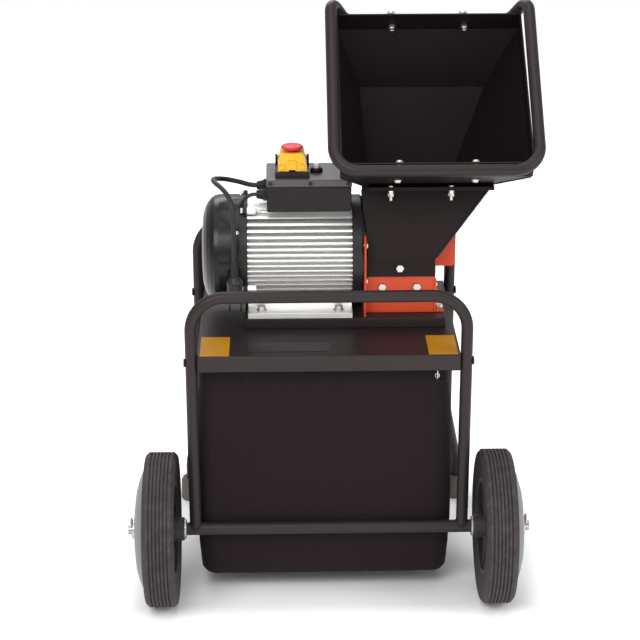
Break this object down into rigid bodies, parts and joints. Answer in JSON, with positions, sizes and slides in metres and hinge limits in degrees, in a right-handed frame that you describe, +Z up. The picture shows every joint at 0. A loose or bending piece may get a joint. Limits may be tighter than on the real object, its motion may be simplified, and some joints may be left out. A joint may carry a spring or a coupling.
{
  "type": "garden shredder",
  "caption": "Electric garden shredder on a two-wheeled tube frame, with a tilted hopper, flanged motor, knife rotor and a hanging sack below the deck.",
  "frame": {"origin": "bottom centre of the bounding box: on the floor, under the middle of the machine's outer box", "axes": "+X to the right seen from the front, along the axle and the motor shaft; +Y to the rear; +Z up"},
  "size_m": [0.6635, 0.508, 0.9294],
  "materials": {
    "frame_paint": "warm black powder coat on bent tube",
    "sheet_paint": "warm black powder coat on folded sheet",
    "orange_paint": "orange enamel on welded steel",
    "shield_paint": "black paint on cast end shields",
    "zinc": "zinc plated fasteners",
    "steel": "ground and turned steel",
    "lamination": "stacked electrical sheet",
    "alloy": "bright extruded aluminium",
    "foot_rubber": "moulded olive grey rubber",
    "tyre_rubber": "solid ribbed tyre",
    "hub_plastic": "dark moulded wheel",
    "cover_plastic": "light grey wheel disc",
    "bush_plastic": "pale bearing plastic",
    "gloss_black": "glossy black fan cover",
    "box_plastic": "black switch box plastic",
    "yellow_plastic": "yellow switch flap",
    "red_plastic": "red stop button",
    "green_plastic": "green start button",
    "pale_plastic": "pale reset button",
    "yellow_plate": "plain yellow plates without any print",
    "dark_plate": "plain dark plate without any print",
    "cable": "black cable jacket",
    "cloth": "dark woven sack cloth"
  },
  "bodies": {
    "machine": {"front_frame": "frame_paint", "rear_frame": "frame_paint", "axle_tube": "frame_paint", "hopper_rail": "frame_paint", "sack_hooks": "frame_paint", "deck_bolts": "frame_paint", "deck": "sheet_paint", "motor_base": "sheet_paint", "lower_funnel": "sheet_paint", "hopper": "sheet_paint", "cutter_housing": "orange_paint", "side_cover": "orange_paint", "drive_end_shield": "shield_paint", "fan_end_shield": "shield_paint", "axle_washers": "zinc", "axle_clips": "zinc", "motor_foot_bolts": "zinc", "shield_bolts": "zinc", "housing_bolts": "zinc", "hopper_bolts": "zinc", "sack_rim": "zinc", "axle": "steel", "counter_knife": "steel", "motor_bearings": "steel", "stator_core": "lamination", "motor_housing": "alloy", "left_foot": "foot_rubber", "right_foot": "foot_rubber", "fan_cover": "gloss_black", "switch_box": "box_plastic", "box_lid": "box_plastic", "switch_base": "box_plastic", "reset_bezel": "box_plastic", "cable_glands": "box_plastic", "sign_plates": "yellow_plate", "name_plate": "dark_plate", "motor_lead": "cable", "mains_lead": "cable", "mains_plug": "cable", "sack": "cloth"},
    "left_wheel": {"left_tyre": "tyre_rubber", "left_wheel_hub": "hub_plastic", "left_wheel_cover": "cover_plastic", "left_wheel_bush": "bush_plastic"},
    "right_wheel": {"right_tyre": "tyre_rubber", "right_wheel_hub": "hub_plastic", "right_wheel_cover": "cover_plastic", "right_wheel_bush": "bush_plastic"},
    "cutter": {"motor_shaft": "steel", "motor_rotor": "lamination", "cooling_fan": "hub_plastic", "cutter_rotor": "steel", "knives": "steel", "knife_bolts": "zinc", "rotor_nut": "zinc"},
    "flap": {"switch_flap": "yellow_plastic", "stop_mushroom": "red_plastic"},
    "start": {"start_button": "green_plastic"},
    "stop": {"stop_button": "red_plastic"},
    "reset": {"reset_button": "pale_plastic"}
  },
  "joints": [
    {"name": "left_wheel_roll", "type": "hinge", "parent": "machine", "child": "left_wheel", "pos_m": [-0.27665, -0.129, 0.125], "axis": [1, 0, 0], "continuous": true},
    {"name": "right_wheel_roll", "type": "hinge", "parent": "machine", "child": "right_wheel", "pos_m": [0.26395, -0.129, 0.125], "axis": [1, 0, 0], "continuous": true},
    {"name": "cutter_spin", "type": "hinge", "parent": "machine", "child": "cutter", "pos_m": [0.11365, 0.068, 0.537], "axis": [1, 0, 0], "continuous": true},
    {"name": "flap_hinge", "type": "hinge", "parent": "machine", "child": "flap", "pos_m": [-0.06085, 0.077, 0.6893], "axis": [-1, 0, 0], "range_deg": [0, 100]},
    {"name": "start_press", "type": "slide", "parent": "machine", "child": "start", "axis": [0, 0, -1], "range_m": [0, 0.003], "stiffness_N_per_m": 400},
    {"name": "stop_press", "type": "slide", "parent": "machine", "child": "stop", "axis": [0, 0, -1], "range_m": [0, 0.003], "stiffness_N_per_m": 400},
    {"name": "reset_press", "type": "slide", "parent": "machine", "child": "reset", "axis": [0, 0, -1], "range_m": [0, 0.003], "stiffness_N_per_m": 400}
  ]
}
